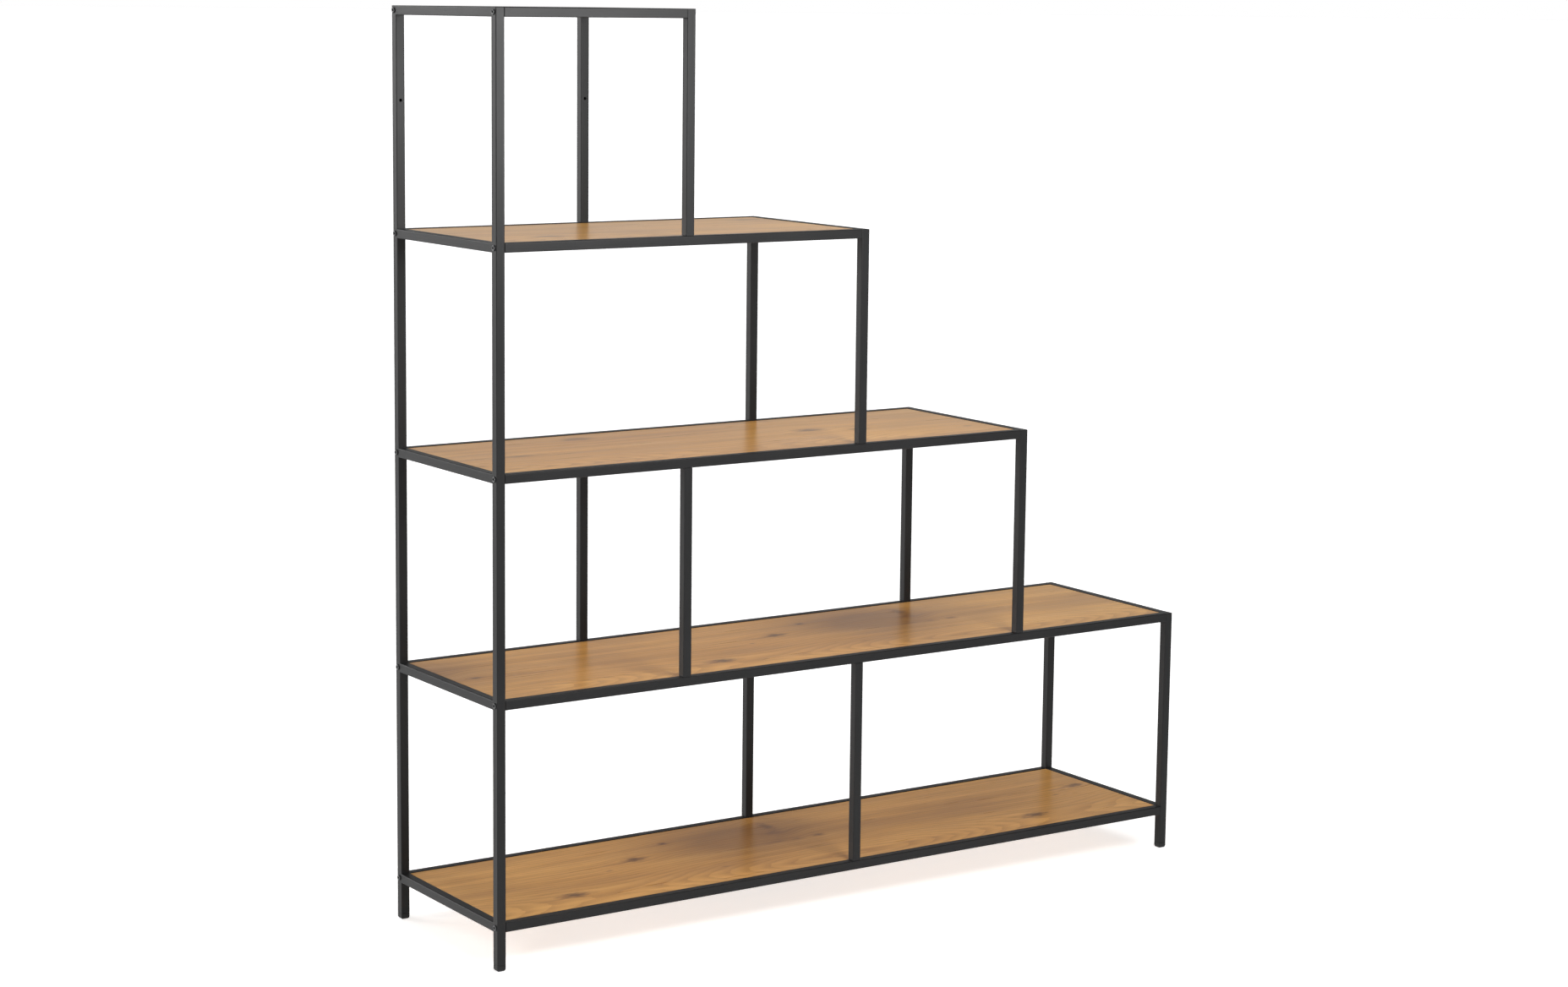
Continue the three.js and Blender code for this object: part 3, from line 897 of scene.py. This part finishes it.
def tabs_of(level, row):
    """The tabs of one long rail, and the screw under each: plates in the middle of every bay."""
    if f"shelf_board_level_{level}" not in frame["nodes"]:
        return []
    rail_low, _ = corners(f"left_side_rail_level_{level}")
    right_low, _ = corners(f"right_side_rail_level_{level}")
    post_low, post_high = corners(f"left_post_{row}")
    bays = round((right_low[0] - rail_low[0]) / BAY_PITCH)
    inward = 1 if row == "front" else -1
    inner_face = post_high[1] if row == "front" else post_low[1]
    ends = sorted((inner_face - inward * TUBE_CORNER_RADIUS, inner_face + inward * TAB_REACH))
    screw_y = inner_face + inward * TAB_REACH / 2
    found = []
    for bay in range(bays):
        centre = rail_low[0] + TUBE_SIDE / 2 + (bay + 0.5) * BAY_PITCH
        plate = eased_block(
            (centre - TAB_LENGTH / 2, ends[0], rail_low[2]),
            (centre + TAB_LENGTH / 2, ends[1], rail_low[2] + TAB_THICKNESS),
            TAB_EDGE_RADIUS,
        )
        head = placed(screw_head(), TURNED_OVER, (centre, screw_y, rail_low[2]))
        found.append((plate, head))
    return found


def add_long_rails():
    """Long rails: closed tubes with their spigots, and with a tab under the board in each bay."""
    for level in LEVELS:
        for row in ROWS:
            node = f"{row}_rail_level_{level}"
            tabs = [tab for tab, screw in tabs_of(level, row)]
            shells = [long_tube(level, row), *spigots_of(level, row), *tabs]
            make_piece(f"{node}_tube", shells, BLACK_STEEL, "frame", node)


def add_screws():
    """The wood screws that hold each board to its tabs, seen from below."""
    for level in LEVELS:
        heads = [screw for row in ROWS for tab, screw in tabs_of(level, row)]
        if heads:
            make_piece(f"board_screws_level_{level}", heads, BOLT_STEEL, "bolt")


def add_boards():
    """Boards with eased edges, each cut from another place of the same print."""
    for level in LEVELS:
        node = f"shelf_board_level_{level}"
        if node not in frame["nodes"]:
            continue
        low, high = corners(node)
        shell = eased_block(low, high, BOARD_EDGE_RADIUS)
        make_piece(f"{node}_laminate", [shell], oak_laminate(level), "board", node)


def foot_rows():
    """Insets and heights of a foot: a rounded lower edge, a straight side, and the plug in the tube."""
    angle = np.linspace(0, math.pi / 2, FOOT_ROUND_STEPS + 1)
    inset = FOOT_EDGE_INSET * (1 - np.sin(angle))
    height = FOOT_EDGE_RISE * (1 - np.cos(angle))
    rim = upside_down(quarter_round(FOOT_RIM_RADIUS), FOOT_HEIGHT)
    return np.concatenate([np.stack([inset, height], 1), rim, [[FOOT_SHOULDER, FOOT_HEIGHT]]])


def add_feet():
    """Plastic feet: square caps with a rounded lower edge, and a plug up inside the post."""
    for side in SIDES:
        for row in ROWS:
            node = f"{side}_foot_{row}"
            low, high = corners(node)
            middle = (low + high) / 2
            top = high[2] - low[2]
            plug = [[FOOT_SHOULDER, top - FOOT_RIM_RADIUS], [FOOT_SHOULDER + FOOT_RIM_RADIUS, top]]
            bar = closed_bar(TUBE_SIDE, np.concatenate([foot_rows(), plug]))
            shell = placed(bar, STANDING, (middle[0], middle[1], low[2]))
            make_piece(f"{node}_cap", [shell], BLACK_PLASTIC, "foot", node)


def add_bolts():
    """Bolts with low heads and hexagon sockets, turned outwards. Two of them stand for no node."""
    for name, outward, seat in BOLTS:
        turn = ALONG_X if outward > 0 else HALF_ROUND @ ALONG_X
        shell = placed(bolt_shell(), turn, seat)
        nodes = [name] if name in frame["nodes"] else []
        make_piece(f"{name}_low_head", [shell], BOLT_STEEL, "bolt", *nodes)


# Camera, at the photograph's viewing angle
CAMERA_PLACE = (-2.9172, -4.2630, 1.5085)
CAMERA_YAW = math.radians(34.003)
CAMERA_PITCH = math.radians(-7.926)
CAMERA_ROLL = math.radians(0.632)
CAMERA_LENS_MM = 70.37
CAMERA_SENSOR_MM = 36
CAMERA_SHIFT_UP = -0.04
CAMERA_FARTHEST = 1600


def add_camera():
    """The camera looks along yaw and pitch, and is then rolled about that line."""
    forward = Vector(
        (
            math.sin(CAMERA_YAW) * math.cos(CAMERA_PITCH),
            math.cos(CAMERA_YAW) * math.cos(CAMERA_PITCH),
            math.sin(CAMERA_PITCH),
        )
    )
    level_right = Vector((math.cos(CAMERA_YAW), -math.sin(CAMERA_YAW), 0))
    level_up = level_right.cross(forward)
    right = math.cos(CAMERA_ROLL) * level_right + math.sin(CAMERA_ROLL) * level_up
    up = right.cross(forward)
    data = bpy.data.cameras.new("camera")
    data.lens = CAMERA_LENS_MM
    data.sensor_width = CAMERA_SENSOR_MM
    data.sensor_fit = "HORIZONTAL"
    data.shift_y = CAMERA_SHIFT_UP
    data.clip_end = CAMERA_FARTHEST
    camera = bpy.data.objects.new("camera", data)
    bpy.context.scene.collection.objects.link(camera)
    turn = Matrix((right, up, -forward)).transposed()
    camera.matrix_world = Matrix.Translation(CAMERA_PLACE) @ turn.to_4x4()
    bpy.context.scene.camera = camera


# Stage: a wide pale floor, white near the horizon, four soft suns and a softbox in front of the top
FLOOR_REACH = 400
FLOOR_COLOUR = (0.90, 0.90, 0.90)
FLOOR_DARKEST_SHARE = 0.99
FLOOR_CLOUDS_PER_METRE = 0.7
FLOOR_OWN_WHITE = 0.64
HORIZON_WHITE = 1
HORIZON_TOP = math.radians(8)
HORIZON_FADED = math.radians(15)
SKY_ABOVE = 0.08
# Each sun: azimuth from +X towards +Y, elevation and width in degrees, and the share of white
# that a white sheet shows when it faces this sun alone
SUN_SHARES = {
    "overhead_sun": (0, 80, 40, 0.30),
    "left_sun": (180, 40, 40, 0.16),
    "back_left_sun": (124, 14, 30, 0.50),
    "front_left_sun": (216, 10, 16, 0.30),
}
SOFTBOX_SIDE = 0.8
SOFTBOX_PLACE = (-0.04, -1.5, 1.58)
SOFTBOX_AIM = (-0.6, -0.17, 1.35)
SOFTBOX_WHITES = 15


def add_sun(name, azimuth, elevation, width, share):
    """A sun of a given width, which alone shows a white sheet that faces it as that share of white."""
    data = bpy.data.lights.new(name, "SUN")
    data.energy = share * math.pi
    data.angle = math.radians(width)
    sun = bpy.data.objects.new(name, data)
    across = math.cos(math.radians(elevation))
    direction = Vector(
        (
            across * math.cos(math.radians(azimuth)),
            across * math.sin(math.radians(azimuth)),
            math.sin(math.radians(elevation)),
        )
    )
    sun.rotation_euler = direction.to_track_quat("Z", "Y").to_euler()
    bpy.context.scene.collection.objects.link(sun)


def add_softbox():
    """A square lamp, so many times as bright as white paper, out of the camera's sight."""
    data = bpy.data.lights.new("softbox", "AREA")
    data.shape = "SQUARE"
    data.size = SOFTBOX_SIDE
    data.energy = SOFTBOX_WHITES * math.pi * SOFTBOX_SIDE**2
    softbox = bpy.data.objects.new("softbox", data)
    softbox.location = SOFTBOX_PLACE
    backwards = Vector(SOFTBOX_PLACE) - Vector(SOFTBOX_AIM)
    softbox.rotation_euler = backwards.to_track_quat("Z", "Y").to_euler()
    softbox.visible_camera = False
    bpy.context.scene.collection.objects.link(softbox)


def add_floor():
    """A level sheet that takes shadows, with some white of its own for all that looks at it."""
    finish = Finish("pale_floor", Specular_IOR_Level=0, Roughness=1)
    clouds = finish.noise(finish.place, [FLOOR_CLOUDS_PER_METRE] * 3, detail=1)
    darker = tuple(share * FLOOR_DARKEST_SHARE for share in FLOOR_COLOUR)
    finish.use("Base Color", finish.mixed(clouds, FLOOR_COLOUR, darker))
    ray = finish.nodes.new("ShaderNodeLightPath").outputs
    seen = finish.math("ADD", ray["Is Camera Ray"], ray["Is Glossy Ray"])
    seen = finish.math("ADD", seen, ray["Is Transmission Ray"], clamp=True)
    finish.surface.inputs["Emission Color"].default_value = (1, 1, 1, 1)
    finish.use("Emission Strength", finish.math("MULTIPLY", seen, FLOOR_OWN_WHITE))
    ways = ((-1, -1), (1, -1), (1, 1), (-1, 1))
    points = [(x * FLOOR_REACH, y * FLOOR_REACH, 0) for x, y in ways]
    mesh = bpy.data.meshes.new("floor")
    mesh.from_pydata(points, [], [(0, 1, 2, 3)])
    mesh.materials.append(finish.material)
    floor = bpy.data.objects.new("floor", mesh)
    bpy.context.scene.collection.objects.link(floor)


def add_sky():
    """White up to a low height over the horizon all round, and dim above that."""
    world = bpy.data.worlds.new("studio")
    world.use_nodes = True
    nodes = world.node_tree.nodes
    links = world.node_tree.links
    background = nodes["Background"]
    background.inputs["Color"].default_value = (1, 1, 1, 1)
    height = nodes.new("ShaderNodeSeparateXYZ")
    links.new(nodes.new("ShaderNodeTexCoord").outputs["Generated"], height.inputs[0])
    fade = nodes.new("ShaderNodeMapRange")
    fade.interpolation_type = "SMOOTHSTEP"
    fade.inputs["From Min"].default_value = math.sin(HORIZON_TOP)
    fade.inputs["From Max"].default_value = math.sin(HORIZON_FADED)
    fade.inputs["To Min"].default_value = HORIZON_WHITE
    fade.inputs["To Max"].default_value = SKY_ABOVE
    links.new(height.outputs["Z"], fade.inputs["Value"])
    links.new(fade.outputs[0], background.inputs["Strength"])
    bpy.context.scene.world = world


def add_stage():
    """The floor, the sky, the softbox and the suns."""
    add_floor()
    add_sky()
    add_softbox()
    for name, (azimuth, elevation, width, share) in SUN_SHARES.items():
        add_sun(name, azimuth, elevation, width, share)


add_camera()
add_uprights()
add_side_rails()
add_long_rails()
add_boards()
add_screws()
add_feet()
add_bolts()
add_stage()
bpy.context.scene.view_settings.view_transform = "Standard"
